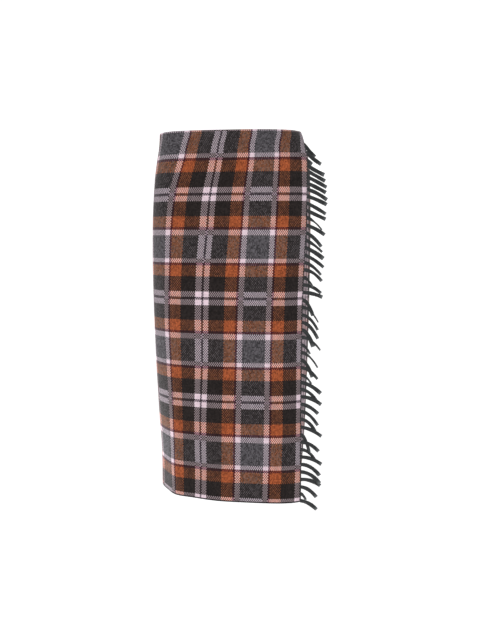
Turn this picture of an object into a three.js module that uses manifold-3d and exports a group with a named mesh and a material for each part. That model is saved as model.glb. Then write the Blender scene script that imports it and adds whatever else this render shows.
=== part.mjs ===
// Wrap skirt in heavy plaid wool: a knee-length straight skirt that wraps round the hips, with a
// fringed free edge down the wearer's left side.
//
// Millimetres, +Z up. The origin is the centre of the waist opening, level with its top edge.
// The front faces -Y and the wearer's left is +X. The skirt keeps the hollow form that it has on.
//
// One long wall of cloth winds round the body. Its place is given by `wind`, an angle in degrees
// that starts at the front centre (0) and falls as the cloth goes round: -90 is the wearer's right
// side seam, -180 the back, -270 the wearer's left side seam, and from there the cloth runs on
// inside the front to its hidden end. The free edge lies at a positive wind, on top.

import * as THREE from 'three';
import Module from 'manifold-3d';

const wasm = await Module();
wasm.setup();

// Driving sizes
const LENGTH = 780;
const BAND_HEIGHT = 28;
const WALL = 2.4;
const SEAM_GAP = 0.3;
const LAYER_GAP = 1.6;

// Where the pieces meet, as wind in degrees
const RIGHT_SEAM = -90;
const LEFT_SEAM = -270;
const HIDDEN_END = -390;

// Mesh fineness
const COLUMN_WIDTH = 17;
const PANEL_ROWS = 22;
const BAND_ROWS = 2;

// The worn form, level by level. down: below the waist edge. half, front, back: half width and
// the depths from the centre. right, left: how square the front corners are (2 is an ellipse).
// shift: sideways. crease: height of the soft corner down the wearer's right. flare: how far the
// wearer's left side stands out. tuck: how far the lower layer draws in under the free edge.
// edge: wind of the free edge.
const LEVELS = namedRows(
  ['down', 'half', 'front', 'back', 'right', 'left', 'shift', 'crease', 'flare', 'tuck', 'edge'],
  [
    [0, 159.5, 112, 100, 3.1, 3.2, 0, 3.2, -9, 0, 69.5],
    [28, 161.5, 112, 103, 3.1, 5.0, 0, 3.2, -0.5, 3.5, 63.8],
    [60, 166.5, 112, 108, 3.1, 6.0, -0.5, 3.2, 6, 6, 61.5],
    [100, 171, 112.5, 113, 3.2, 5.5, -1, 3.2, 2.5, 4.5, 62],
    [190, 176.5, 113, 120, 3.2, 4.4, -1, 3, -2.5, 3, 62.8],
    [300, 178.5, 111, 118, 3.0, 3.5, -1, 2.6, -7, 1, 64],
    [450, 177.5, 108, 108, 2.6, 3.5, -0.5, 2.6, -9, 0.5, 63.7],
    [600, 173.5, 112.5, 98, 2.2, 3.8, 0, 6, -4, 6.5, 61.5],
    [700, 171, 117, 93, 2.0, 4.0, 2.5, 9, 0.5, 16.5, 59],
    [780, 172, 121, 90, 1.85, 4.2, 3.5, 9, 4, 29, 56.5],
  ],
);
const BACK_SQUARE = 2.2;

// Turns, in degrees from the front, over which the flare and the tuck come and go
const FLARE_SPAN = { start: 25, full: 75, fade: 100, gone: 160 };
const TUCK_SPAN = { start: 15, full: 60, fade: 100, gone: 165 };

// Wind by which the cloth has come down to the lower layer
const LOWERED = -250;

// Soft vertical corners in the worn cloth. turn: angle from the front. width: in degrees.
// share: height as a share of the level's crease.
const FOLDS = namedRows(['turn', 'width', 'share'], [
  [-53, 11, 1.0],
  [-128, 14, 0.7],
  [126, 15, 0.8],
]);

// Fringe: flat strands rooted in a narrow strip along the free edge
const STRIP_WIDTH = 4.5;
const ROOT_REACH = 3.6;
const STRAND_COUNT = 50;
const END_MARGIN = 4.3;
const STRAND_WIDTH = 6.2;
const STRAND_THICKNESS = 2.2;
const STRAND_LENGTH = 46;
const STRAND_STEPS = 4;
const STRAND_TWIST = 0.9;
const STRAND_OPENING = 0.6;
const STRAND_SPLAY = 8;
const DROOP_UNEVENNESS = 3;
const LENGTH_UNEVENNESS = 3;

// How the strands hang, by their place down the edge: degrees below level at the root and the tip
const DROOP = namedRows(['down', 'root', 'tip'], [
  [35, 36, 40],
  [90, 33, 35],
  [135, 15, 32],
  [225, 20, 50],
  [285, 10, 50],
  [340, 5, 35],
  [400, 0, 64],
  [520, 2, 64],
  [570, 5, 48],
  [652, 15, 60],
  [700, 6, 44],
  [780, 8, 38],
]);

const RADIANS = Math.PI / 180;

function namedRows(names, rows) {
  return rows.map((row) => Object.fromEntries(names.map((name, i) => [name, row[i]])));
}

function smoothStep(from, to, value) {
  const t = Math.min(Math.max((value - from) / (to - from), 0), 1);
  return t * t * (3 - 2 * t);
}

// A smooth curve through one column of a table whose rows go down the skirt
function columnAt(table, name, down) {
  let i = 0;
  while (i < table.length - 2 && table[i + 1].down < down) i += 1;
  const slope = (k) => {
    const before = table[Math.max(k - 1, 0)];
    const after = table[Math.min(k + 1, table.length - 1)];
    return (after[name] - before[name]) / (after.down - before.down);
  };
  const step = table[i + 1].down - table[i].down;
  const t = Math.min(Math.max((down - table[i].down) / step, 0), 1);
  const start = 2 * t ** 3 - 3 * t ** 2 + 1;
  const leave = t ** 3 - 2 * t ** 2 + t;
  const arrive = t ** 3 - t ** 2;
  return start * table[i][name] + leave * step * slope(i)
    + (1 - start) * table[i + 1][name] + arrive * step * slope(i + 1);
}

function levelAt(down) {
  const level = { down };
  for (const name of Object.keys(LEVELS[0])) {
    if (name !== 'down') level[name] = columnAt(LEVELS, name, down);
  }
  return level;
}

function rampShare(span, turn) {
  return Math.min(Math.max((turn - span.start) / (span.full - span.start), 0), 1);
}

function fadeShare(span, turn) {
  return 1 - smoothStep(span.fade, span.gone, turn);
}

// Distance from the section's centre to the cloth's outer face
function radiusAt(wind, level) {
  const turn = wind < -180 ? wind + 360 : wind;
  const across = Math.sin(turn * RADIANS);
  const ahead = Math.cos(turn * RADIANS);
  const frontSquare = across < 0 ? level.right : level.left;
  const square = ahead < 0 ? BACK_SQUARE : frontSquare;
  const depth = ahead < 0 ? level.back : level.front;
  const sum = Math.abs(across / level.half) ** square + Math.abs(ahead / depth) ** square;
  let radius = sum ** (-1 / square);
  for (const fold of FOLDS) {
    radius += level.crease * fold.share * Math.exp(-(((turn - fold.turn) / fold.width) ** 2));
  }
  radius += level.flare * rampShare(FLARE_SPAN, turn) ** 2 * fadeShare(FLARE_SPAN, turn);
  const lower = 1 - smoothStep(LOWERED, RIGHT_SEAM, wind);
  const tucked = smoothStep(TUCK_SPAN.start, TUCK_SPAN.full, turn) * fadeShare(TUCK_SPAN, turn);
  const inside = wind < -180 ? tucked : 0;
  return radius - lower * (WALL + LAYER_GAP) - inside * level.tuck;
}

function faceAt(wind, level) {
  const radius = radiusAt(wind, level);
  const x = level.shift + radius * Math.sin(wind * RADIANS);
  const y = -radius * Math.cos(wind * RADIANS);
  return new THREE.Vector3(x, y, -level.down);
}

// Level direction along the cloth, towards its free edge
function alongAt(wind, level) {
  const reach = 0.5;
  return faceAt(wind + reach, level).sub(faceAt(wind - reach, level)).normalize();
}

// A point of the wall, `lift` out from its outer face
function clothPoint(wind, level, lift) {
  const along = alongAt(wind, level);
  const out = new THREE.Vector3(along.y, -along.x, 0);
  return faceAt(wind, level).addScaledVector(out, lift);
}

// Winds that part the cloth from one wind to another into equal widths, after a trim at each end
function evenWinds(from, to, level, columns, trim) {
  const winds = [];
  const lengths = [0];
  const count = Math.ceil(Math.abs(from - to));
  for (let i = 0; i <= count; i += 1) winds.push(from + ((to - from) * i) / count);
  for (let i = 1; i <= count; i += 1) {
    const piece = faceAt(winds[i], level).distanceTo(faceAt(winds[i - 1], level));
    lengths.push(lengths[i - 1] + piece);
  }
  const first = trim.start;
  const last = lengths[count] - trim.end;
  const even = [];
  let k = 0;
  for (let i = 0; i <= columns; i += 1) {
    const length = first + ((last - first) * i) / columns;
    while (k < count - 1 && lengths[k + 1] < length) k += 1;
    const share = (length - lengths[k]) / (lengths[k + 1] - lengths[k]);
    even.push(winds[k] + (winds[k + 1] - winds[k]) * share);
  }
  return even;
}

// A closed geometry from two matching grids of points, the outer and the inner face of a wall
function wallGeometry(outer, inner) {
  const rows = outer.length;
  const columns = outer[0].length;
  const positions = [];
  for (const grid of [outer, inner]) {
    for (const row of grid) {
      for (const point of row) positions.push(point.x, point.y, point.z);
    }
  }
  const index = [];
  const at = (side, row, column) => (side * rows + row) * columns + column;
  const quad = (a, b, c, d) => index.push(a, b, c, a, c, d);
  for (let r = 0; r < rows - 1; r += 1) {
    for (let c = 0; c < columns - 1; c += 1) {
      quad(at(0, r, c), at(0, r, c + 1), at(0, r + 1, c + 1), at(0, r + 1, c));
      quad(at(1, r, c), at(1, r + 1, c), at(1, r + 1, c + 1), at(1, r, c + 1));
    }
  }
  const last = { row: rows - 1, column: columns - 1 };
  for (let c = 0; c < last.column; c += 1) {
    quad(at(0, 0, c), at(1, 0, c), at(1, 0, c + 1), at(0, 0, c + 1));
    quad(at(0, last.row, c), at(0, last.row, c + 1), at(1, last.row, c + 1), at(1, last.row, c));
  }
  for (let r = 0; r < last.row; r += 1) {
    quad(at(0, r, 0), at(0, r + 1, 0), at(1, r + 1, 0), at(1, r, 0));
    const end = last.column;
    quad(at(0, r, end), at(1, r, end), at(1, r + 1, end), at(0, r + 1, end));
  }
  const geometry = new THREE.BufferGeometry();
  geometry.setAttribute('position', new THREE.Float32BufferAttribute(positions, 3));
  geometry.setIndex(index);
  return facingOut(geometry);
}

// Turns every triangle over if the closed geometry faces inwards
function facingOut(geometry) {
  const points = geometry.getAttribute('position');
  const index = geometry.getIndex();
  const corner = (i) => new THREE.Vector3().fromBufferAttribute(points, index.getX(i));
  let volume = 0;
  for (let i = 0; i < index.count; i += 3) {
    volume += corner(i).dot(corner(i + 1).cross(corner(i + 2)));
  }
  if (volume < 0) index.array.reverse();
  return geometry;
}

// A stretch of the cloth. `from` and `to` give its two upright edges at a level.
function clothWall({ from, to, top, bottom, rows, trim }) {
  const widest = levelAt((top + bottom) / 2);
  const spread = (from(widest) - to(widest)) * RADIANS * widest.half;
  const columns = Math.round(spread / COLUMN_WIDTH);
  const outer = [];
  const inner = [];
  for (let r = 0; r <= rows; r += 1) {
    const level = levelAt(top + ((bottom - top) * r) / rows);
    const winds = evenWinds(from(level), to(level), level, columns, trim);
    outer.push(winds.map((wind) => clothPoint(wind, level, 0)));
    inner.push(winds.map((wind) => clothPoint(wind, level, -WALL)));
  }
  return wallGeometry(outer, inner);
}

function panel(from, to, trim) {
  return clothWall({ from, to, top: BAND_HEIGHT + SEAM_GAP, bottom: LENGTH, rows: PANEL_ROWS, trim });
}

function waistband() {
  return clothWall({
    from: (level) => level.edge,
    to: () => HIDDEN_END,
    top: 0,
    bottom: BAND_HEIGHT,
    rows: BAND_ROWS,
    trim: { start: 0, end: 0 },
  });
}

// The strip that carries the fringe, parted from the free edge by a seam's gap
function fringeStrip() {
  const top = BAND_HEIGHT + SEAM_GAP;
  const outer = [];
  const inner = [];
  for (let r = 0; r <= PANEL_ROWS; r += 1) {
    const level = levelAt(top + ((LENGTH - top) * r) / PANEL_ROWS);
    const along = alongAt(level.edge, level);
    const across = [SEAM_GAP, SEAM_GAP + STRIP_WIDTH];
    const beyond = (reach, lift) => clothPoint(level.edge, level, lift).addScaledVector(along, reach);
    outer.push(across.map((reach) => beyond(reach, 0)));
    inner.push(across.map((reach) => beyond(reach, -WALL)));
  }
  return wallGeometry(outer, inner);
}

// A steady value between -1 and 1 that differs from strand to strand
function unevenness(strand, kind) {
  return Math.sin(strand * (2.1 + 1.3 * kind) + kind);
}

// One flat strand, from inside the strip out along the cloth's own direction, drooping as it goes
function strand(number) {
  const pitch = (LENGTH - BAND_HEIGHT - 2 * END_MARGIN) / (STRAND_COUNT - 1);
  const down = BAND_HEIGHT + END_MARGIN + pitch * number;
  const level = levelAt(down);
  const along = alongAt(level.edge, level);
  const root = clothPoint(level.edge, level, -WALL / 2);
  root.addScaledVector(along, ROOT_REACH);
  const splay = (number % 2 === 0 ? 1 : -1) * STRAND_SPLAY + 2 * unevenness(number, 3);
  const leave = Math.atan2(along.y, along.x);
  const droop = DROOP_UNEVENNESS * unevenness(number, 1);
  const rootDroop = Math.max(columnAt(DROOP, 'root', down) + droop, 0);
  const tipDroop = columnAt(DROOP, 'tip', down) + droop;
  const length = STRAND_LENGTH + LENGTH_UNEVENNESS * unevenness(number, 2);
  const twist = STRAND_TWIST * unevenness(number, 4);

  const outer = [];
  const inner = [];
  const centre = root.clone();
  for (let i = 0; i <= STRAND_STEPS; i += 1) {
    const share = i / STRAND_STEPS;
    const opened = leave * (1 - STRAND_OPENING * smoothStep(0, 0.6, share));
    const bearing = opened - splay * smoothStep(0, 0.5, share) * RADIANS;
    const angle = (rootDroop + (tipDroop - rootDroop) * share) * RADIANS;
    const heading = new THREE.Vector3(Math.cos(bearing), Math.sin(bearing), 0);
    const sideways = new THREE.Vector3(heading.y, -heading.x, 0);
    const ahead = heading.clone().multiplyScalar(Math.cos(angle)).setZ(-Math.sin(angle));
    const upright = heading.clone().multiplyScalar(Math.sin(angle)).setZ(Math.cos(angle));
    const wide = upright.applyAxisAngle(ahead, twist * share).multiplyScalar(STRAND_WIDTH / 2);
    const thick = sideways.applyAxisAngle(ahead, twist * share).multiplyScalar(STRAND_THICKNESS / 2);
    if (i > 0) centre.addScaledVector(ahead, length / STRAND_STEPS);
    const edge = (side) => centre.clone().addScaledVector(wide, side);
    outer.push([edge(1).add(thick), edge(-1).add(thick)]);
    inner.push([edge(1).sub(thick), edge(-1).sub(thick)]);
  }
  return wallGeometry(outer, inner);
}

function toSolid(geometry) {
  const vertProperties = new Float32Array(geometry.getAttribute('position').array);
  const triVerts = new Uint32Array(geometry.getIndex().array);
  return new wasm.Manifold(new wasm.Mesh({ numProp: 3, vertProperties, triVerts }));
}

function toGeometry(solid) {
  const mesh = solid.getMesh();
  const geometry = new THREE.BufferGeometry();
  geometry.setAttribute('position', new THREE.BufferAttribute(mesh.vertProperties, 3));
  geometry.setIndex(new THREE.BufferAttribute(mesh.triVerts, 1));
  return geometry;
}

function fringe() {
  let solid = toSolid(fringeStrip());
  for (let number = 0; number < STRAND_COUNT; number += 1) {
    solid = solid.add(toSolid(strand(number)));
  }
  return toGeometry(solid);
}

function piece(name, geometry, color) {
  const material = new THREE.MeshStandardMaterial({ color, roughness: 0.95, metalness: 0 });
  const mesh = new THREE.Mesh(geometry, material);
  mesh.name = name;
  return mesh;
}

const half = SEAM_GAP / 2;
const freeEdge = (level) => level.edge;
const rightSeam = () => RIGHT_SEAM;
const leftSeam = () => LEFT_SEAM;
const hiddenEnd = () => HIDDEN_END;

const skirt = new THREE.Group();
skirt.add(piece('waistband', waistband(), '#5a4a48'));
skirt.add(piece('front_over_panel', panel(freeEdge, rightSeam, { start: 0, end: half }), '#8a4a30'));
skirt.add(piece('back_panel', panel(rightSeam, leftSeam, { start: half, end: half }), '#5c4038'));
skirt.add(piece('front_under_panel', panel(leftSeam, hiddenEnd, { start: half, end: 0 }), '#6a5a5c'));
skirt.add(piece('fringe', fringe(), '#38393a'));

export default skirt;
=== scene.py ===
from math import cos, exp, pi, radians, sin, tan

import bmesh
import bpy
from bpy.props import FloatProperty, FloatVectorProperty, PointerProperty
from mathutils import Color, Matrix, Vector
from mathutils.noise import noise as smooth_noise


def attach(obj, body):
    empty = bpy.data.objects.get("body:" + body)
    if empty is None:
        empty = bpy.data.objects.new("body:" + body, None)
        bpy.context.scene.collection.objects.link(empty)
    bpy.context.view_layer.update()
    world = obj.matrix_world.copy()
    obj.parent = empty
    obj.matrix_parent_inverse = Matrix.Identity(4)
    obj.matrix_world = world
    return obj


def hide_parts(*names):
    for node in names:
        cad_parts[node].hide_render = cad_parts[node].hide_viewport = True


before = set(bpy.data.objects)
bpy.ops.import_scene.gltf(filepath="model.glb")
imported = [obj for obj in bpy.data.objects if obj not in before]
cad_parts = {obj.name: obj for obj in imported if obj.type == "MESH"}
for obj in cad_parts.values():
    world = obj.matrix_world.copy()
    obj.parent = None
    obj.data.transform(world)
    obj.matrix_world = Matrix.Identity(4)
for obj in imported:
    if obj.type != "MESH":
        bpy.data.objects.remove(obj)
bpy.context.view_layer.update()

bl_info = {
    "name": "Wrap Skirt",
    "version": (1, 0, 0),
    "blender": (4, 5, 0),
    "location": "View3D > Sidebar > Wrap Skirt",
    "description": "Builds a plaid wool wrap skirt with a fringed free edge",
    "category": "Add Mesh",
}

MM = 0.001

# ---------------------------------------------------------------------------
# The worn form, in millimetres. `wind` runs along the cloth in degrees: 0 at
# the front centre, -90 the wearer's right seam, -180 the back, -270 the
# wearer's left seam, and on inside the front to the hidden end.
# ---------------------------------------------------------------------------

LENGTH = 780
BAND_HEIGHT = 28
WALL = 2.4
LAYER_GAP = 1.6
RIGHT_SEAM = -90
LEFT_SEAM = -270
HIDDEN_END = -390

# The solids stand 0.3 apart at a seam. The cloth closes most of that, so that no
# pale line shows along a seam.
SEAM_GAP = 0.1

LEVEL_NAMES = (
    "down", "half", "front", "back", "right", "left",
    "shift", "crease", "flare", "tuck", "edge",
)
LEVELS = (
    (0, 159.5, 112, 100, 3.1, 3.2, 0, 3.2, -9, 0, 69.5),
    (28, 161.5, 112, 103, 3.1, 5.0, 0, 3.2, -0.5, 3.5, 63.8),
    (60, 166.5, 112, 108, 3.1, 6.0, -0.5, 3.2, 6, 6, 61.5),
    (100, 171, 112.5, 113, 3.2, 5.5, -1, 3.2, 2.5, 4.5, 62),
    (190, 176.5, 113, 120, 3.2, 4.4, -1, 3, -2.5, 3, 62.8),
    (300, 178.5, 111, 118, 3.0, 3.5, -1, 2.6, -7, 1, 64),
    (450, 177.5, 108, 108, 2.6, 3.5, -0.5, 2.6, -9, 0.5, 63.7),
    (600, 173.5, 112.5, 98, 2.2, 3.8, 0, 6, -4, 6.5, 61.5),
    (700, 171, 117, 93, 2.0, 4.0, 2.5, 9, 0.5, 16.5, 59),
    (780, 172, 121, 90, 1.85, 4.2, 3.5, 9, 4, 29, 56.5),
)
BACK_SQUARE = 2.2

# Soft upright corners: turn from the front and width in degrees, and the share
# of the level's crease.
FOLDS = ((-53, 11, 1.0), (-128, 14, 0.7), (126, 15, 0.8))

# Turns, in degrees from the front, over which the flare and the tuck come and go,
# and winds over which the under layer moves out to the over layer.
FLARE_START = 25
FLARE_RUN = 50
FLARE_FADE = (100, 160)
TUCK_RISE = (15, 60)
TUCK_FADE = (100, 165)
LAYER_RISE = (-250, RIGHT_SEAM)

# How the plaid is eased round the worn form: how far from the free edge each of
# the cloth's own places lies along the form, in millimetres.
EASED_CLOTH = (12.0, 106.4, 214.5, 293.2)
EASED_NAMES = ("down", "first", "second", "third", "fourth")
EASED = (
    (0, 11, 88, 181, 252.5),
    (28, 15, 90, 185.5, 258.5),
    (56, 15, 90.5, 189.5, 265),
    (126, 13, 98.5, 204, 287),
    (203, 13, 102, 210.5, 296.5),
    (285, 13, 103.5, 215.5, 298),
    (396, 11.5, 105, 216, 300),
    (474, 11.5, 105.5, 215.5, 297.5),
    (613, 11, 106.5, 220, 291),
    (720, 12.5, 107, 219, 289.5),
    (780, 12.5, 106.5, 219, 288.5),
)
EDGE_CLOTH = -2.0

# The share of the cloth that is eased in round the waist beyond those places,
# and the depths between which that comes to an end.
WAIST_FULLNESS = 0.19
FULLNESS_END = (120, 260)

# How far out from the free edge the middle of the under layer's pale pair lies,
# and how far up the form the crosswise stripes have slipped, in millimetres.
DRIFT_NAMES = ("down", "lap", "slip")
DRIFT = (
    (0, 6, 0),
    (126, 9, 0),
    (215, 12, 1.5),
    (285, 19, 1.5),
    (345, 20, 1),
    (450, 20, 0),
    (560, 22, -1.5),
    (700, 28, -3),
    (780, 36, -4.5),
)

# Soft troughs and ridges laid in on the panels and the band. turn is
# in degrees from the front, down in mm, reach and width are half sizes in mm,
# lift is the height and lean the sideways drift per mm down.
RELIEF_NAMES = ("turn", "down", "reach", "width", "lift", "lean")
FRONT_RELIEF = (
    (14, 430, 85, 7, 0.9, 0.02),
    (17.5, 420, 80, 6, -0.8, 0.02),
    (-44, 33, 5, 13, -1.3, 0.12),
    (-42, 44, 7, 16, 0.8, 0.1),
    (50, 24, 7, 10, -0.9, 0.35),
    (56, 45, 16, 9, 0.8, 0.1),
    (-20, 150, 90, 30, 0.9, -0.3),
    (33, 250, 120, 26, -0.8, 0.06),
    (-8, 610, 110, 30, 0.8, 0.05),
    (40, 640, 90, 20, 0.7, -0.08),
    (-62, 420, 110, 16, -0.7, 0.02),
)
BACK_RELIEF = (
    (-170, 60, 40, 18, -1.1, 0.15),
    (168, 75, 45, 20, -1.0, -0.15),
    (-178, 250, 110, 34, 0.9, 0.04),
    (-140, 330, 120, 28, -0.9, 0.05),
    (142, 380, 120, 26, -0.8, -0.06),
    (-165, 600, 130, 30, 1.0, 0.03),
    (150, 650, 110, 26, 0.9, -0.05),
    (-112, 500, 120, 22, 0.8, 0.02),
    (110, 260, 100, 22, 0.8, 0.03),
)

# Millimetres round the skirt in a degree, and the widths and reaches at which a
# crease has died away.
MM_A_DEGREE = 2.6
WIDTHS_OUT = 4
REACHES_OUT = 3

# A slight waver of the cloth: its waves round and down the skirt, its height in
# millimetres, and the depths between which it comes in.
WAVES_ROUND = 2.1
WAVE_LENGTH = 190
WAVE_HEIGHT = 0.9
WAVE_RISE = (40, 500)


def named(names, rows):
    return [dict(zip(names, row)) for row in rows]


LEVEL_ROWS = named(LEVEL_NAMES, LEVELS)
EASED_ROWS = named(EASED_NAMES, EASED)
DRIFT_ROWS = named(DRIFT_NAMES, DRIFT)
FRONT_ROWS = named(RELIEF_NAMES, FRONT_RELIEF)
BACK_ROWS = named(RELIEF_NAMES, BACK_RELIEF)


def smooth_step(start, end, value):
    t = min(max((value - start) / (end - start), 0), 1)
    return t * t * (3 - 2 * t)


def column_at(rows, name, down):
    """A smooth curve through one column of a table whose rows go down the skirt."""
    i = 0
    while i < len(rows) - 2 and rows[i + 1]["down"] < down:
        i += 1

    def slope(k):
        before, after = rows[max(k - 1, 0)], rows[min(k + 1, len(rows) - 1)]
        return (after[name] - before[name]) / (after["down"] - before["down"])

    step = rows[i + 1]["down"] - rows[i]["down"]
    t = min(max((down - rows[i]["down"]) / step, 0), 1)
    start = 2 * t**3 - 3 * t**2 + 1
    leave = t**3 - 2 * t**2 + t
    arrive = t**3 - t**2
    return (
        start * rows[i][name]
        + leave * step * slope(i)
        + (1 - start) * rows[i + 1][name]
        + arrive * step * slope(i + 1)
    )


def level_at(down):
    level = {name: column_at(LEVEL_ROWS, name, down) for name in LEVEL_NAMES[1:]}
    level["down"] = down
    return level


def radius_at(wind, level):
    """From the section's centre to the cloth's outer face."""
    turn = wind + 360 if wind < -180 else wind
    across, ahead = sin(radians(turn)), cos(radians(turn))
    front_square = level["right"] if across < 0 else level["left"]
    square = BACK_SQUARE if ahead < 0 else front_square
    depth = level["back"] if ahead < 0 else level["front"]
    total = abs(across / level["half"]) ** square + abs(ahead / depth) ** square
    radius = total ** (-1 / square)
    for fold_turn, width, share in FOLDS:
        radius += level["crease"] * share * exp(-(((turn - fold_turn) / width) ** 2))
    flared = min(max((turn - FLARE_START) / FLARE_RUN, 0), 1) ** 2
    radius += level["flare"] * flared * (1 - smooth_step(*FLARE_FADE, turn))
    lower = 1 - smooth_step(*LAYER_RISE, wind)
    radius -= lower * (WALL + LAYER_GAP)
    if wind < -180:
        tucked = smooth_step(*TUCK_RISE, turn) * (1 - smooth_step(*TUCK_FADE, turn))
        radius -= tucked * level["tuck"]
    return radius


def face_at(wind, level):
    radius = radius_at(wind, level)
    x = level["shift"] + radius * sin(radians(wind))
    y = -radius * cos(radians(wind))
    return Vector((x, y, -level["down"]))


def along_at(wind, level):
    """Level direction along the cloth, towards its free edge."""
    return (face_at(wind + 0.5, level) - face_at(wind - 0.5, level)).normalized()


def outward_at(wind, level):
    along = along_at(wind, level)
    return Vector((along.y, -along.x, 0))


def cloth_arc(level, from_wind, to_wind):
    """Winds a degree apart, and the arc lengths up to them."""
    count = max(int(abs(to_wind - from_wind)), 1)
    winds = [from_wind + (to_wind - from_wind) * i / count for i in range(count + 1)]
    arcs = [0.0]
    last = face_at(winds[0], level)
    for wind in winds[1:]:
        point = face_at(wind, level)
        arcs.append(arcs[-1] + (point - last).length)
        last = point
    return winds, arcs


def interpolated(value, known, wanted):
    """The wanted column at a value of the known, rising column."""
    low, high = 0, len(known) - 1
    while high - low > 1:
        middle = (low + high) // 2
        if known[middle] <= value:
            low = middle
        else:
            high = middle
    share = (value - known[low]) / (known[high] - known[low])
    return wanted[low] + (wanted[high] - wanted[low]) * share


def eased(arc, level):
    """The cloth's own distance from the free edge, at an arc along the worn form."""
    down = level["down"]
    marks = [column_at(EASED_ROWS, name, down) for name in EASED_NAMES[1:]]
    if arc >= marks[-1]:
        fullness = WAIST_FULLNESS * (1 - smooth_step(*FULLNESS_END, down))
        return EASED_CLOTH[-1] + (arc - marks[-1]) * (1 - fullness)
    return interpolated(arc, [0.0] + marks, (EDGE_CLOTH,) + EASED_CLOTH)


def relief_at(wind, down, table):
    """How far the soft creases lift the cloth here."""
    turn = wind + 360 if wind < -180 else wind
    lift = 0.0
    for row in table:
        drop = down - row["down"]
        across = (turn - row["turn"]) * MM_A_DEGREE - row["lean"] * drop
        aside, along = across / row["width"], drop / row["reach"]
        if abs(aside) < WIDTHS_OUT and abs(along) < REACHES_OUT:
            lift += row["lift"] * exp(-(aside**2) - along**2)
    return lift


def hem_wave(wind, down):
    """A slight waver of the cloth that grows towards the hem."""
    ahead, across = cos(radians(wind)), sin(radians(wind))
    place = Vector((ahead * WAVES_ROUND, across * WAVES_ROUND, down / WAVE_LENGTH))
    return WAVE_HEIGHT * smooth_noise(place) * smooth_step(*WAVE_RISE, down)


# ---------------------------------------------------------------------------
# Sizes and colours that a user would change
# ---------------------------------------------------------------------------


def sheet_colour(label, about, red, green, blue):
    return FloatVectorProperty(
        name=label, description=about, subtype="COLOR_GAMMA", size=3, min=0, max=1,
        default=(red / 255, green / 255, blue / 255),
    )


def length_setting(label, about, default, low, high):
    return FloatProperty(
        name=label, description=about, default=default, min=low, max=high,
        subtype="DISTANCE", unit="LENGTH",
    )


def share_setting(label, about, default, high):
    return FloatProperty(
        name=label, description=about, default=default, min=0, max=high, subtype="FACTOR"
    )


class PlaidSettings(bpy.types.PropertyGroup):
    """The plaid wool's colours and weave"""

    charcoal: sheet_colour("Charcoal", "Heathered grey of the widest blocks", 79, 76, 80)
    rust: sheet_colour("Rust", "Orange brown stripes", 157, 80, 46)
    brown: sheet_colour("Brown", "Near-black brown blocks", 36, 30, 29)
    lilac: sheet_colour("Lilac", "Pale stripes", 228, 206, 216)
    wine: sheet_colour("Wine", "Narrow dark red-brown stripes", 64, 26, 33)
    dusk: sheet_colour("Dusk", "Fine dark stripe between the pale pair", 58, 47, 54)
    repeat: length_setting(
        "Repeat", "Length after which the plaid starts again", 0.2167, 0.05, 0.6
    )
    weave_contrast: share_setting(
        "Weave Contrast", "How far the two yarns stand apart where stripes cross", 0.98, 1
    )
    heather: share_setting("Heather", "How mottled the charcoal yarn is", 0.8, 2)
    yarn_height: length_setting("Yarn Height", "Relief of the weave", 0.0005, 0, 0.002)


class FringeSettings(bpy.types.PropertyGroup):
    """The strands along the free edge"""

    width: length_setting("Strand Width", "Width of a flat strand", 0.0079, 0.002, 0.012)
    thickness: length_setting(
        "Strand Thickness", "Thickness of a flat strand", 0.0021, 0.0008, 0.005
    )
    colour: sheet_colour("Strand Colour", "Charcoal of the strands", 56, 58, 59)


class StageSettings(bpy.types.PropertyGroup):
    """The floor and the light"""

    floor_colour: sheet_colour("Floor", "Pale studio floor", 250, 250, 250)
    floor_drop: length_setting(
        "Floor Drop", "How far the floor lies below the waist edge", 1.05, 0.8, 2.0
    )
    key_power: FloatProperty(
        name="Key Light", description="Power of the large soft light in front",
        default=18.5, min=0, max=500, unit="POWER",
    )
    surround: share_setting("Surround", "Brightness of the white surroundings", 0.545, 3)


# ---------------------------------------------------------------------------
# Materials
# ---------------------------------------------------------------------------


def linear(colour):
    return (*Color(colour).from_srgb_to_scene_linear(), 1.0)


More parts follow.
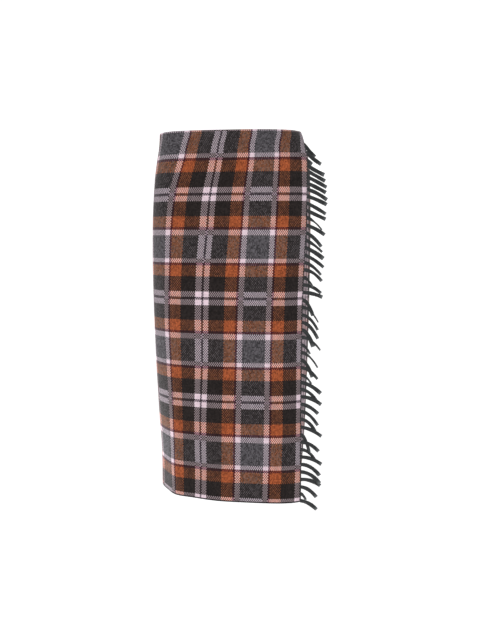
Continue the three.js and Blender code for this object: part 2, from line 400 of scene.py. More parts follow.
class Shader:
    """Short ways to add and wire the nodes of one material"""

    def __init__(self, name):
        self.material = bpy.data.materials.new(name)
        self.material.use_nodes = True
        self.tree = self.material.node_tree
        self.surface = self.tree.nodes["Principled BSDF"]

    def node(self, kind, *values, **settings):
        """A new node, with its settings and the values of its first inputs."""
        node = self.tree.nodes.new(kind)
        for key, value in settings.items():
            setattr(node, key, value)
        for value, socket in zip(values, node.inputs):
            self.wire(value, socket)
        return node

    def wire(self, source, target):
        """Joins two sockets, or sets the target to a plain value."""
        if isinstance(source, (int, float, tuple)):
            target.default_value = source
        else:
            self.tree.links.new(source, target)

    def maths(self, operation, *values, clamp=False):
        node = self.node("ShaderNodeMath", *values, operation=operation, use_clamp=clamp)
        return node.outputs[0]

    def total(self, first, *others):
        for value in others:
            first = self.maths("ADD", first, value)
        return first

    def minus(self, first, second):
        return self.maths("SUBTRACT", first, second)

    def times(self, first, second):
        return self.maths("MULTIPLY", first, second)

    def mix(self, factor, first, second):
        node = self.node("ShaderNodeMix", data_type="RGBA")
        self.wire(factor, node.inputs["Factor"])
        self.wire(first, node.inputs["A"])
        self.wire(second, node.inputs["B"])
        return node.outputs["Result"]

    def gamma(self, colour, power):
        return self.node("ShaderNodeGamma", colour, power).outputs["Color"]

    def scaled(self, colour, amount):
        node = self.node("ShaderNodeVectorMath", colour, operation="SCALE")
        self.wire(amount, node.inputs["Scale"])
        return node.outputs["Vector"]

    def joined(self, operation, first, second):
        node = self.node("ShaderNodeVectorMath", first, second, operation=operation)
        return node.outputs["Vector"]

    def uv(self):
        return self.node("ShaderNodeUVMap", uv_map="cloth").outputs["UV"]

    def parts(self, vector):
        node = self.node("ShaderNodeSeparateXYZ", vector)
        return node.outputs[0], node.outputs[1]

    def mottle(self, vector, scale, detail=2.0, roughness=0.6):
        node = self.node("ShaderNodeTexNoise", vector)
        for name, value in (("Scale", scale), ("Detail", detail), ("Roughness", roughness)):
            node.inputs[name].default_value = value
        return node.outputs["Fac"]

    def scatter(self, first, second):
        """A steady random value for each pair of whole numbers."""
        place = self.node("ShaderNodeCombineXYZ", first, second).outputs[0]
        node = self.node("ShaderNodeTexWhiteNoise", place, noise_dimensions="2D")
        return node.outputs["Value"]

    def steps(self, factor, stops):
        """A colour ramp of hard steps: each stop gives its start and its colour."""
        node = self.node("ShaderNodeValToRGB", factor)
        ramp = node.color_ramp
        ramp.interpolation = "CONSTANT"
        for element, (position, colour) in zip(ramp.elements[:], stops):
            element.position = position
            element.color = colour
        for position, colour in stops[2:]:
            ramp.elements.new(position).color = colour
        return node.outputs["Color"]

    def bumped(self, height, distance, strength=1.0):
        node = self.node("ShaderNodeBump")
        node.inputs["Strength"].default_value = strength
        node.inputs["Distance"].default_value = distance
        self.wire(height, node.inputs["Height"])
        self.wire(node.outputs["Normal"], self.surface.inputs["Normal"])

    def finished(self, colour, roughness, specular, sheen=0.0, sheen_roughness=0.5):
        """The material, with its colour and the way its surface takes the light."""
        inputs = self.surface.inputs
        self.wire(colour, inputs["Base Color"])
        inputs["Roughness"].default_value = roughness
        inputs["Specular IOR Level"].default_value = specular
        inputs["Sheen Weight"].default_value = sheen
        inputs["Sheen Roughness"].default_value = sheen_roughness
        return self.material


# Stripes of one repeat, as the millimetres from the middle of the fine dark
# stripe at which each starts. Lengthwise and crosswise stripes are the same.
# A lilac stripe comes up only on every other cell, so a twin stripe and a lone
# one share their cells where they cross, and near-black yarn shows between.
STRIPES = (
    (0, "dusk"),
    (2.1, "twin_lilac"),
    (13.6, "brown"),
    (45.5, "rust"),
    (68.6, "wine"),
    (73.4, "lilac"),
    (84.0, "charcoal"),
    (132.4, "lilac"),
    (142.8, "wine"),
    (147.6, "rust"),
    (170.6, "brown"),
    (202.6, "twin_lilac"),
    (214.4, "dusk"),
)
STRIPE_REPEAT = 216.7
CELLS_ACROSS = 100
CELLS_DOWN = 76
EDGE_INTO_STRIPE = 1.6
ROWS_START = 129.9

# Whole repeats and cells added so that nothing is below zero.
REPEATS_ADDED = 8.0
CELLS_ADDED = 4096.0

# Marks of the lone and the twin lilac stripes, with 0.5 for every other yarn.
SIDES = {"lilac": 0.0, "twin_lilac": 1.0}

# How strongly the darker of two yarns wins where both show, with a dark yarn
# among them and with two bright ones, and the red from which a yarn is bright.
# The darker yarn wins partly because it covers more of the cell and partly as
# painted shade in the gaps between the yarns, most where a dark yarn is among them.
DARK_BLEND_WITH_SHADE = 5.0
BRIGHT_BLEND = 2.2
BRIGHT_YARN = 0.2
DEEPEST_WOOL = (0.004, 0.0035, 0.0035)

# How mottled each yarn is beside the charcoal, the fibres and patches in waves a
# metre, and how far fibres, single cells and patches lighten or darken the wool.
HEATHERED = {
    "charcoal": 1.0, "rust": 0.7, "brown": 0.8, "lilac": 0.15, "wine": 0.7, "dusk": 0.7,
}
FIBRE_WAVES = 620.0
PATCH_WAVES = 95.0
FIBRE_SHADE = 2.8
CELL_SHADE = 1.5
PATCH_SHADE = 0.35
LEAST_SHADE = 0.25

# The weave's relief: how full each yarn's crown is, the fibres' share, and how
# strongly it shows.
YARN_FULLNESS = 0.6
FIBRE_RELIEF = 0.7
WEAVE_RELIEF = 0.8

# The dark line of wool along the hem and how dark it is, how far the inner face
# is dulled to charcoal, and how far the under layer's lengthwise lilac stripes
# are covered by plain lilac. That lifting is partly the raised lilac yarns that
# show at a slant and partly painted light against the shade between the layers.
HEM_LINE = 3.0
HEM_DARKNESS = 0.35
DULL_REVERSE = 0.3
UNDER_LILAC_AND_PAINTED_LIGHT = 0.5


def stripe_stops(value_of):
    """Steps over one repeat, with what value_of gives for each stripe's yarn."""
    return [(start / STRIPE_REPEAT, value_of(yarn)) for start, yarn in STRIPES]


def grey(value):
    return (value, value, value, 1.0)


def plaid_wool(plaid, name, reverse=False, paler=0.0):
    """The plaid: each cell of the weave shows its lengthwise or crosswise yarn."""
    s = Shader(name)
    across, down = s.parts(s.uv())
    column_start = s.total(across, EDGE_INTO_STRIPE * MM)
    row_start = s.minus(down, ROWS_START * MM)
    column = s.times(column_start, CELLS_ACROSS / plaid.repeat)
    row = s.times(row_start, CELLS_DOWN / plaid.repeat)
    column_cell = s.maths("FLOOR", column)
    row_cell = s.maths("FLOOR", row)
    tones = {yarn: linear(getattr(plaid, yarn)) for yarn in HEATHERED}
    tone_stops = stripe_stops(lambda yarn: tones[yarn.removeprefix("twin_")])
    heather_stops = stripe_stops(lambda yarn: grey(HEATHERED[yarn.removeprefix("twin_")]))
    side_stops = stripe_stops(lambda yarn: grey(SIDES.get(yarn, 0.5)))

    def yarns(cell, count):
        """The colour, heathering and side of the yarn that runs through a cell."""
        centre = s.maths("DIVIDE", s.total(cell, 0.5), count)
        place = s.maths("FRACT", s.total(centre, REPEATS_ADDED))
        side = s.minus(s.steps(place, side_stops), 0.5)
        return s.steps(place, tone_stops), s.steps(place, heather_stops), side

    lengthwise, lengthwise_heather, column_side = yarns(column_cell, CELLS_ACROSS)
    crosswise, crosswise_heather, row_side = yarns(row_cell, CELLS_DOWN)
    shared_cells = s.maths("LESS_THAN", s.times(column_side, row_side), -0.1)
    crosswise = s.mix(shared_cells, crosswise, tones["brown"])

    cell_sum = s.total(column_cell, row_cell, CELLS_ADDED)
    shows_crosswise = s.maths("FLOORED_MODULO", cell_sum, 2.0)
    own = s.mix(shows_crosswise, lengthwise, crosswise)
    other = s.mix(shows_crosswise, crosswise, lengthwise)
    own_heather = s.mix(shows_crosswise, lengthwise_heather, crosswise_heather)

    def blend(power):
        both = s.joined("ADD", s.gamma(lengthwise, 1 / power), s.gamma(crosswise, 1 / power))
        return s.gamma(s.scaled(both, 0.5), power)

    # The two yarns of a cell stand apart in the ratio that the blend has to their mean.
    darker, _ = s.parts(s.joined("MINIMUM", lengthwise, crosswise))
    both_bright = s.maths("GREATER_THAN", darker, BRIGHT_YARN)
    # With a dark yarn the blend holds painted shade in the gaps between the yarns.
    blended = s.mix(both_bright, blend(DARK_BLEND_WITH_SHADE), blend(BRIGHT_BLEND))
    keeps = s.joined("DIVIDE", blended, s.scaled(s.joined("ADD", own, other), 0.5))
    apart = s.scaled(s.joined("SUBTRACT", own, other), plaid.weave_contrast * 0.5)
    apart = s.joined("MULTIPLY", apart, keeps)
    woven = s.joined("MAXIMUM", s.joined("ADD", blended, apart), DEEPEST_WOOL)
    # Partly painted light: the under layer's lilac columns are lifted towards plain lilac
    # against the shade between the layers.
    if paler:
        lilac_column = s.maths("GREATER_THAN", s.maths("ABSOLUTE", column_side), 0.25)
        woven = s.mix(s.times(lilac_column, paler), woven, tones["lilac"])

    fibre = s.mottle(s.uv(), FIBRE_WAVES, detail=3.0, roughness=0.7)
    patch = s.mottle(s.uv(), PATCH_WAVES)
    fibre_speck = s.times(fibre, FIBRE_SHADE)
    cell_speck = s.times(s.scatter(column_cell, row_cell), CELL_SHADE)
    speck = s.total(fibre_speck, cell_speck, -(FIBRE_SHADE + CELL_SHADE) / 2)
    speck = s.times(s.times(speck, plaid.heather), own_heather)
    drift = s.times(s.minus(patch, 0.5), PATCH_SHADE)
    shade = s.maths("MAXIMUM", s.total(1.0, speck, drift), LEAST_SHADE)
    coloured = s.scaled(woven, shade)
    hem_starts = LENGTH - HEM_LINE + DRIFT_ROWS[-1]["slip"]
    in_hem_line = s.maths("GREATER_THAN", down, hem_starts * MM)
    coloured = s.mix(in_hem_line, coloured, s.scaled(tones["dusk"][:3], HEM_DARKNESS))
    if reverse:
        coloured = s.mix(DULL_REVERSE, coloured, tones["charcoal"])

    def yarn_swell(cells):
        return s.maths("SINE", s.times(s.maths("FRACT", cells), pi))

    swell = s.times(yarn_swell(column), yarn_swell(row))
    swell = s.maths("POWER", s.maths("MAXIMUM", swell, 0.0), YARN_FULLNESS)
    height = s.total(swell, s.times(fibre, FIBRE_RELIEF))
    s.bumped(height, plaid.yarn_height, WEAVE_RELIEF)
    return s.finished(coloured, 0.93, 0.15, sheen=0.12, sheen_roughness=0.45)


# The rim of a cut edge: stitches in radians a metre, fibres in waves a metre,
# how far each shades the wool, its plain shade, and its relief in metres.
STITCH_RATE = 2900.0
STITCH_SHADE = 0.18
RIM_FIBRE_WAVES = 700.0
RIM_FIBRE_SHADE = 0.9
RIM_SHADE = 0.35
RIM_HEIGHT = 0.0003


def hem_wool(plaid, name):
    """The turned and overcast rim of a cut edge: dark wool with close stitches."""
    s = Shader(name)
    stitch = s.maths("SINE", s.times(s.total(*s.parts(s.uv())), STITCH_RATE))
    fibre = s.mottle(s.uv(), RIM_FIBRE_WAVES, detail=3.0)
    stitch_tone = s.times(stitch, STITCH_SHADE)
    tone = s.total(stitch_tone, s.times(fibre, RIM_FIBRE_SHADE), RIM_SHADE)
    s.bumped(s.total(stitch, fibre), RIM_HEIGHT)
    return s.finished(s.scaled(linear(plaid.dusk)[:3], tone), 0.95, 0.1, sheen=0.15)


# A strand: its twist in radians a metre, fibres and patches in waves a metre, how
# far each shades the wool, and its relief in metres. Each strand has its own
# STRAND_SPACE millimetres of the map with its tip at TIP_PLACE, so that one rule
# pales every tip.
TWIST_ALONG = 3600.0
TWIST_ROUND = 1500.0
TWIST_SHADE = 0.14
STRAND_FIBRE_WAVES = 900.0
STRAND_FIBRE_SHADE = 1.1
STRAND_PATCH_WAVES = 130.0
STRAND_PATCH_SHADE = 0.5
STRAND_SHADE = 0.2
STRAND_HEIGHT = 0.0004
STRAND_SPACE = 64
TIP_PLACE = 61
PALE_FROM = 0.84
PALE_RISE = 9.0
FRAYED_TIP = 2.6


def strand_wool(fringe, name):
    """Flat charcoal strands: a fine twist across, loose fibres and frayed, paler tips."""
    s = Shader(name)
    along, side = s.parts(s.uv())
    turned = s.times(side, TWIST_ROUND)
    twist = s.maths("SINE", s.total(s.times(along, TWIST_ALONG), turned))
    fibre = s.mottle(s.uv(), STRAND_FIBRE_WAVES, detail=3.0, roughness=0.7)
    patch = s.mottle(s.uv(), STRAND_PATCH_WAVES)
    place = s.maths("FRACT", s.maths("DIVIDE", along, STRAND_SPACE * MM))
    past_pale = s.minus(place, PALE_FROM)
    near_tip = s.maths("MULTIPLY", past_pale, PALE_RISE, clamp=True)
    near_tip = s.times(near_tip, s.maths("GREATER_THAN", along, 0.0))
    tone = s.total(
        s.times(twist, TWIST_SHADE),
        s.times(fibre, STRAND_FIBRE_SHADE),
        s.times(patch, STRAND_PATCH_SHADE),
        s.times(near_tip, FRAYED_TIP),
        STRAND_SHADE,
    )
    s.bumped(s.total(s.times(twist, 0.5), fibre), STRAND_HEIGHT)
    return s.finished(s.scaled(linear(fringe.colour)[:3], tone), 0.95, 0.1, sheen=0.2)


def shared(name, maker, *settings, **choices):
    """A material of this name, made the first time it is asked for."""
    return bpy.data.materials.get(name) or maker(*settings, name, **choices)


# ---------------------------------------------------------------------------
# Cloth
# ---------------------------------------------------------------------------

# Where the plaid starts on the band, in millimetres, and whole repeats added on
# the back so that nothing is below zero.
BAND_PLAID_TOP = -5
BACK_REPEATS = 3

# Degrees by which the arcs run past the panels' ends.
OVER_MARGIN = 2
UNDER_MARGIN = 3


def plaid_down(down):
    """Place down the plaid. On the band it starts just above the first pale stripe."""
    if down >= BAND_HEIGHT:
        return down + column_at(DRIFT_ROWS, "slip", down)
    return BAND_PLAID_TOP + down * (BAND_HEIGHT - BAND_PLAID_TOP) / BAND_HEIGHT


def plaid_across(level):
    """A function from wind and panel to the place across the plaid. The over panel
    is laid out from its free edge, the back from its middle, and the under panel
    so that a pale pair lies beside the free edge."""
    winds, arcs = cloth_arc(level, level["edge"], LEFT_SEAM - OVER_MARGIN)
    falling = [-wind for wind in winds]
    middle_arc = interpolated(180, falling, arcs)
    under = cloth_arc(level, HIDDEN_END - UNDER_MARGIN, LEFT_SEAM + UNDER_MARGIN)
    edge_arc = interpolated(level["edge"] - 360, *under)
    edge_arc += column_at(DRIFT_ROWS, "lap", level["down"])

    def at(wind, panel):
        if panel == "under":
            return edge_arc - interpolated(wind, *under)
        arc = interpolated(-wind, falling, arcs)
        if panel == "back":
            return BACK_REPEATS * STRIPE_REPEAT - EDGE_INTO_STRIPE + arc - middle_arc
        return eased(arc, level)

    return at


# Columns and rows of each panel's mesh, and rows of the band's.
PANEL_COLUMNS = {"over": 64, "back": 70, "under": 44}
PANEL_ROWS = {"over": 104, "back": 104, "under": 96}
BAND_ROWS = 7


def panel_ends(panel, level):
    """The winds of a panel's two upright edges."""
    ends = {
        "over": (level["edge"], RIGHT_SEAM),
        "back": (RIGHT_SEAM, LEFT_SEAM),
        "under": (LEFT_SEAM, HIDDEN_END),
    }
    return ends[panel]


def even_winds(level, panel, trims):
    """Winds evenly spaced along the cloth from one edge of a panel to the other."""
    winds, arcs = cloth_arc(level, *panel_ends(panel, level))
    columns = PANEL_COLUMNS[panel]
    first, last = trims[0], arcs[-1] - trims[1]
    places = [first + (last - first) * i / columns for i in range(columns + 1)]
    return [interpolated(place, arcs, winds) for place in places]


def cloth_mesh(name, panels, top, bottom, rows, relief, trims=(0.0, 0.0)):
    """One piece of the wall as a closed mesh. It runs round the named panels, each
    shortened at its two ends by the trims, and carries their plaid."""
    mesh = bpy.data.meshes.new(name)
    bm = bmesh.new()
    uv_layer = bm.loops.layers.uv.new("cloth")
    grids = {"outer": [], "inner": []}
    for r in range(rows + 1):
        level = level_at(top + (bottom - top) * r / rows)
        across = plaid_across(level)
        down = plaid_down(level["down"]) * MM
        row = {"outer": [], "inner": []}
        for k, panel in enumerate(panels):
            winds = even_winds(level, panel, trims)
            for wind in winds[min(k, 1):]:
                out = outward_at(wind, level)
                lift = relief_at(wind, level["down"], relief) + hem_wave(wind, level["down"])
                place = (across(wind, panel) * MM, down)
                at_join = None
                if k and wind == winds[1]:
                    at_join = (across(winds[0], panel) * MM, down)
                for side, depth in (("outer", 0.0), ("inner", -WALL)):
                    point = (face_at(wind, level) + out * (lift + depth)) * MM
                    row[side].append((bm.verts.new(point), place, at_join))
        for side in grids:
            grids[side].append(row[side])

    def quad(entries, uvs, material):
        face = bm.faces.new([entry[0] for entry in entries])
        face.material_index = material
        for loop, uv in zip(face.loops, uvs):
            loop[uv_layer].uv = uv

    def start_uv(entry, following):
        """The place at a column's start. The plaid may jump at a join, so there it
        is where the next panel's plaid starts."""
        return following[2] or entry[1]

    def rim(start, end, forwards):
        """A face of a cut edge, between the outer and inner sides of two grid places."""
        ring = [grids["outer"][r][c] for r, c in (start, end)]
        ring += [grids["inner"][r][c] for r, c in (end, start)]
        if not forwards:
            ring.reverse()
        quad(ring, [entry[1] for entry in ring], 2)

    last = len(grids["outer"][0]) - 1
    for r in range(rows):
        for c in range(last):
            for side, material in (("outer", 0), ("inner", 1)):
                upper, lower = grids[side][r], grids[side][r + 1]
                a, b, d, e = upper[c], upper[c + 1], lower[c], lower[c + 1]
                corners, uvs = [a, b, e, d], [start_uv(a, b), b[1], e[1], start_uv(d, e)]
                if side == "inner":
                    corners, uvs = [a, d, e, b], [uvs[0], uvs[3], uvs[2], uvs[1]]
                quad(corners, uvs, material)
    for c in range(last):
        for r in (0, rows):
            rim((r, c), (r, c + 1), r == 0)
    for r in range(rows):
        for c in (0, last):
            rim((r, c), (r + 1, c), c == 0)
    bmesh.ops.recalc_face_normals(bm, faces=bm.faces)
    bm.to_mesh(mesh)
    bm.free()
    return mesh


EDGE_ROUNDING = 0.0005
EDGE_ANGLE = 60


def only(obj):
    """Selects one object and makes it the active one."""
    bpy.ops.object.select_all(action="DESELECT")
    obj.select_set(True)
    bpy.context.view_layer.objects.active = obj


def round_edges(obj):
    """Rounds the cut edges and shades the rest smooth."""
    only(obj)
    bpy.ops.object.modifier_add(type="BEVEL")
    bevel = obj.modifiers[-1]
    bevel.width = EDGE_ROUNDING
    bevel.segments = 2
    bevel.limit_method = "ANGLE"
    bevel.angle_limit = radians(EDGE_ANGLE)
    bpy.ops.object.modifier_apply(modifier=bevel.name)
    bpy.ops.object.shade_smooth()


def cloth_piece(name, node, mesh, materials):
    obj = bpy.data.objects.new(name, mesh)
    bpy.context.scene.collection.objects.link(obj)
    for material in materials:
        mesh.materials.append(material)
    round_edges(obj)
    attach(obj, "root")
    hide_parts(node)


def panel_mesh(name, panel, relief, trims):
    """One panel's cloth, from just below the band to the hem."""
    top = BAND_HEIGHT + SEAM_GAP
    return cloth_mesh(name, [panel], top, LENGTH, PANEL_ROWS[panel], relief, trims)


def cloth_materials(face="woven_plaid", **choices):
    plaid = bpy.context.scene.skirt_plaid
    return (
        shared(face, plaid_wool, plaid, **choices),
        shared("woven_plaid_reverse", plaid_wool, plaid, reverse=True),
        shared("bound_edge", hem_wool, plaid),
    )


class SKIRT_OT_over_panel(bpy.types.Operator):
    """Front over panel, from the wearer's right seam to the free edge"""

    bl_idname = "skirt.over_panel"
    bl_label = "Front Over Panel"

    def execute(self, context):
        mesh = panel_mesh("over_panel", "over", FRONT_ROWS, (0.0, SEAM_GAP / 2))
        cloth_piece("over_panel", "front_over_panel", mesh, cloth_materials())
        return {"FINISHED"}


class SKIRT_OT_back_panel(bpy.types.Operator):
    """Back panel, from side seam to side seam"""

    bl_idname = "skirt.back_panel"
    bl_label = "Back Panel"

    def execute(self, context):
        trims = (SEAM_GAP / 2, SEAM_GAP / 2)
        mesh = panel_mesh("back_panel_cloth", "back", BACK_ROWS, trims)
        cloth_piece("back_panel_cloth", "back_panel", mesh, cloth_materials())
        return {"FINISHED"}


class SKIRT_OT_under_panel(bpy.types.Operator):
    """Front under panel, from the wearer's left seam in under the over panel"""

    bl_idname = "skirt.under_panel"
    bl_label = "Front Under Panel"

    def execute(self, context):
        mesh = panel_mesh("under_panel", "under", [], (SEAM_GAP / 2, 0.0))
        # The under panel's paler plaid is partly painted light against the shade of the over
        # layer.
        materials = cloth_materials("woven_plaid_paler", paler=UNDER_LILAC_AND_PAINTED_LIGHT)
        cloth_piece("under_panel", "front_under_panel", mesh, materials)
        return {"FINISHED"}


class SKIRT_OT_waistband(bpy.types.Operator):
    """Waistband round all three panels, matched to their plaid"""

    bl_idname = "skirt.waistband"
    bl_label = "Waistband"

    def execute(self, context):
        panels, relief = ("over", "back", "under"), FRONT_ROWS + BACK_ROWS
        mesh = cloth_mesh("waistband_cloth", panels, 0, BAND_HEIGHT, BAND_ROWS, relief)
        cloth_piece("waistband_cloth", "waistband", mesh, cloth_materials())
        return {"FINISHED"}


# ---------------------------------------------------------------------------
# Fringe
# ---------------------------------------------------------------------------

# Section of the strip the strands grow from: how far each corner lies out along
# the cloth from the gap and out from its outer face, in millimetres.
STRIP_SECTION = (
    (0, -0.4), (0.4, 0), (1.6, -0.1), (2.2, -0.7),
    (2.2, 0.7 - WALL), (1.6, 0.1 - WALL), (0.4, -WALL), (0, 0.4 - WALL),
)
STRIP_ROWS = 104

# The strands' roots, in millimetres out of the edge and in from the top and hem.
ROOT_REACH = 1.2
END_MARGIN = 4.3

# The way a strand takes: its bearing and splay in degrees, with a wave that makes
# each differ, and how far along and how steeply it bends.
STRAND_STEPS = 12
STRAND_BEARING = 14
STRAND_SPLAY = 6
SPLAY_CHANGE = 2
SPLAY_RATE = 6
SPLAY_START = 3
BEND_AT = 0.6
ROOT_STEEPNESS = 0.8

# Shares of its length over which it turns out of the cloth's plane and narrows,
# and the wave in its width.
TURNS_OVER = (0, 0.2)
NARROWS_OVER = (0.1, 0.6)
SWELLING = 0.05
SWELL_RATE = 1.7
SWELLS_ALONG = 9

# The girth of a tube on the map, in millimetres, and its sharpest smooth angle.
ROUND_ON_MAP = 14.0
STRAND_ANGLE = 50

# How far the roots sit above an even spacing down the edge.
ROOTS_NAMES = ("down", "raised")
ROOTS = (
    (32, 4), (62, 2), (93, 10), (138, 18), (184, 21), (275, 20), (335, 18), (396, 15),
    (457, 12), (518, 8), (578, 7), (639, 2), (700, -1), (745, -3), (776, -2),
)
ROOTS_ROWS = named(ROOTS_NAMES, ROOTS)

# Each strand from the band to the hem: its droop at the root in degrees, how
# far its tip reaches out and hangs down in mm, wide as a share of the full
# width, and how far its flat side turns from upright by the tip, in degrees.
STRAND_NAMES = ("root", "reach", "drop", "wide", "turn")
STRANDS = named(STRAND_NAMES, (
    (48, 23, 25, 1, 5), (40, 31, 24, 1, 5),
    (44, 11, 9, 1, 10), (30, 35, 19, 1.05, 5),
    (26, 39, 20, 1, -8), (22, 40, 21, 1, 5),
    (20, 41, 19, 1.05, -5), (12, 41, 21, 1, 8),
    (14, 43, 17, 1.05, -5), (24, 39, 22, 0.95, 5),
    (24, 41, 18, 1, -5), (14, 32, 25, 0.45, 40),
    (16, 40, 20, 1, 6), (24, 32, 29, 0.95, -15),
    (24, 36, 25, 0.7, 25), (22, 38, 23, 1.15, -8),
    (22, 41, 26, 0.9, 10), (14, 35, 26, 0.8, 15),
    (2, 39, 24, 0.85, -12), (15, 20, 20, 0.6, 30),
    (2, 39, 18, 0.9, -10), (3, 41, 10, 1.05, 5),
    (8, 23, 34, 1, -15), (2, 34, 32, 0.45, 40),
    (8, 35, 33, 0.8, -20), (6, 34, 35, 1, 15),
    (12, 26, 37, 1.15, -10), (2, 40, 28, 0.6, 30),
    (15, 19, 20, 0.65, 25), (12, 35, 33, 0.55, 35),
    (15, 25, 38, 1, -12), (10, 35, 25, 0.9, 12),
    (10, 23, 20, 0.6, 30), (14, 42, 24, 1.1, -6),
    (8, 35, 26, 0.85, 12), (6, 43, 17, 1.1, -5),
    (15, 38, 23, 1, 8), (8, 36, 30, 0.85, -12),
    (10, 32, 27, 0.9, 12), (14, 44, 20, 1, -8),
    (26, 19, 39, 0.9, 20), (5, 38, 20, 1, -8),
    (8, 32, 24, 0.8, 15), (6, 44, 16, 1.05, -5),
    (8, 42, 27, 1.05, 8), (8, 41, 25, 1.05, -8),
    (6, 44, 17, 1.1, 5), (14, 34, 23, 1.05, -8),
    (25, 12, 14, 0.7, 25), (16, 35, 20, 1.1, 0),
))

# Section of a strand: places round it, as shares of its half width and half
# thickness. It is a flat band with soft edges.
STRAND_SECTION = (
    (1.0, 0.0), (0.86, 0.75), (0.45, 1.0), (0.0, 0.86), (-0.45, 1.0), (-0.86, 0.75),
    (-1.0, 0.0), (-0.86, -0.75), (-0.45, -1.0), (0.0, -0.86), (0.45, -1.0), (0.86, -0.75),
)


def strand_rings(number, width, thickness):
    """The sections of one strand from its root to its tip, each as points in mm,
    and its length."""
    strand = STRANDS[number]
    pitch = (LENGTH - BAND_HEIGHT - 2 * END_MARGIN) / (len(STRANDS) - 1)
    down = BAND_HEIGHT + END_MARGIN + pitch * number
    level = level_at(down - column_at(ROOTS_ROWS, "raised", down))
    along = along_at(level["edge"], level)
    root = face_at(level["edge"], level) - outward_at(level["edge"], level) * (WALL / 2)
    root += along * ROOT_REACH
    splay = STRAND_SPLAY * (-1) ** number
    splay += SPLAY_CHANGE * sin(number * SPLAY_RATE + SPLAY_START)
    bearing = radians(STRAND_BEARING + splay)
    reach = strand["reach"]
    out = Vector((cos(bearing), sin(bearing), 0))
    droop = ROOT_STEEPNESS * tan(radians(strand["root"]))
    leave = (along + out) / 2 - Vector((0, 0, droop))
    bend = root + leave * (reach * BEND_AT)
    tip = root + out * reach - Vector((0, 0, strand["drop"]))
    rings = []
    for i in range(STRAND_STEPS + 1):
        share = i / STRAND_STEPS
        centre = root * (1 - share) ** 2 + bend * (2 * share * (1 - share)) + tip * share**2
        ahead = ((bend - root) * (1 - share) + (tip - bend) * share).normalized()
        sideways = Vector((ahead.y, -ahead.x, 0)).normalized()
        at_edge = 1 - smooth_step(*TURNS_OVER, share)
        upright = sideways.cross(ahead).lerp(Vector((0, 0, 1)), at_edge).normalized()
        turned = radians(strand["turn"]) * share
        wide = upright * cos(turned) + sideways * sin(turned)
        thick = sideways * cos(turned) - upright * sin(turned)
        narrowed = 1 - (1 - strand["wide"]) * smooth_step(*NARROWS_OVER, share)
        swell = narrowed * (1 + SWELLING * sin(number * SWELL_RATE + share * SWELLS_ALONG))
        rings.append([
            centre + wide * (x * swell * width / 2) + thick * (y * thickness / 2)
            for x, y in STRAND_SECTION
        ])
    length = ((bend - root).length + (tip - bend).length + (tip - root).length) / 2
    return rings, length


def add_tube(bm, uv_layer, rings, length, offset):
    """A closed tube through the rings, with places along and round it as its UVs."""
    verts = [[bm.verts.new(point * MM) for point in ring] for ring in rings]
    count = len(rings[0])
    made = []
    for i in range(len(rings) - 1):
        for k in range(count):
            n = (k + 1) % count
            face = bm.faces.new((verts[i][k], verts[i][n], verts[i + 1][n], verts[i + 1][k]))
            ends = ((i, k), (i, k + 1), (i + 1, k + 1), (i + 1, k))
            for loop, (step, turn) in zip(face.loops, ends):
                along = offset + length * step / (len(rings) - 1)
                loop[uv_layer].uv = (along * MM, ROUND_ON_MAP * turn / count * MM)
            made.append(face)
    for ring, along in ((verts[0][::-1], offset), (verts[-1], offset + length)):
        face = bm.faces.new(ring)
        for loop in face.loops:
            loop[uv_layer].uv = (along * MM, ROUND_ON_MAP * MM)
        made.append(face)
    bmesh.ops.recalc_face_normals(bm, faces=made)


def strip_rings(top):
    """Sections of the strip beside the free edge, from top to the hem."""
    rings = []
    for r in range(STRIP_ROWS + 1):
        level = level_at(top + (LENGTH - top) * r / STRIP_ROWS)
        edge, down = level["edge"], level["down"]
        along = along_at(edge, level)
        out = outward_at(edge, level)
        face = face_at(edge, level)
        face += out * (relief_at(edge, down, FRONT_ROWS) + hem_wave(edge, down))
        rings.append([face + along * (SEAM_GAP + x) + out * y for x, y in STRIP_SECTION])
    return rings


class SKIRT_OT_fringe(bpy.types.Operator):
    """Fringe: flat strands down the free edge, with the strip they grow from"""

    bl_idname = "skirt.fringe"
    bl_label = "Fringe"

    def execute(self, context):
        fringe = context.scene.skirt_fringe
        bm = bmesh.new()
        uv_layer = bm.loops.layers.uv.new("cloth")
        top = BAND_HEIGHT + SEAM_GAP
        add_tube(bm, uv_layer, strip_rings(top), LENGTH - top, top - LENGTH)
        for number in range(len(STRANDS)):
            rings, length = strand_rings(number, fringe.width / MM, fringe.thickness / MM)
            if length > TIP_PLACE:
                raise ValueError(f"strand {number} is {length:.0f} mm long")
            add_tube(bm, uv_layer, rings, length, STRAND_SPACE * number + TIP_PLACE - length)
        mesh = bpy.data.meshes.new("fringe_strands")
        bm.to_mesh(mesh)
        bm.free()
        obj = bpy.data.objects.new("fringe_strands", mesh)
        context.scene.collection.objects.link(obj)
        mesh.materials.append(shared("charcoal_strands", strand_wool, fringe))
        only(obj)
        bpy.ops.object.shade_smooth_by_angle(angle=radians(STRAND_ANGLE))
        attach(obj, "root")
        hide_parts("fringe")
        return {"FINISHED"}


class SKIRT_OT_declare_cloth(bpy.types.Operator):
    """States the flat cut of each piece of cloth"""

    bl_idname = "skirt.declare_cloth"
    bl_label = "Cloth Sizes"

    def execute(self, context):
        return {"FINISHED"}


# ---------------------------------------------------------------------------
# Stage
# ---------------------------------------------------------------------------

# The camera's turn and rise in degrees, its place in metres, and its focal length.
CAMERA_TURN = 8.0
CAMERA_RISE = 6.4257
CAMERA_PLACE = (0.2482, -1.6869, -0.2106)
IMAGE_LONG_SIDE = 640
FOCAL_PIXELS = 767.165
SENSOR = 36.0

# The floor and the backdrop that curves up behind it, in metres. A point within
# NEAR_EDGE of the floor's far side and FLAT of its level lies on that edge.
FLOOR_SIZE = 7
FLOOR_BACK = 0.6
BACKDROP_HEIGHT = 5
BACKDROP_ROUND = 1.5
NEAR_EDGE = 0.1
FLAT = 0.01
FLOOR_GLOW = 0.42
CLOUDS = 3.0
CLOUD_SHADE = 0.03
FLOOR_SHADE = 0.985

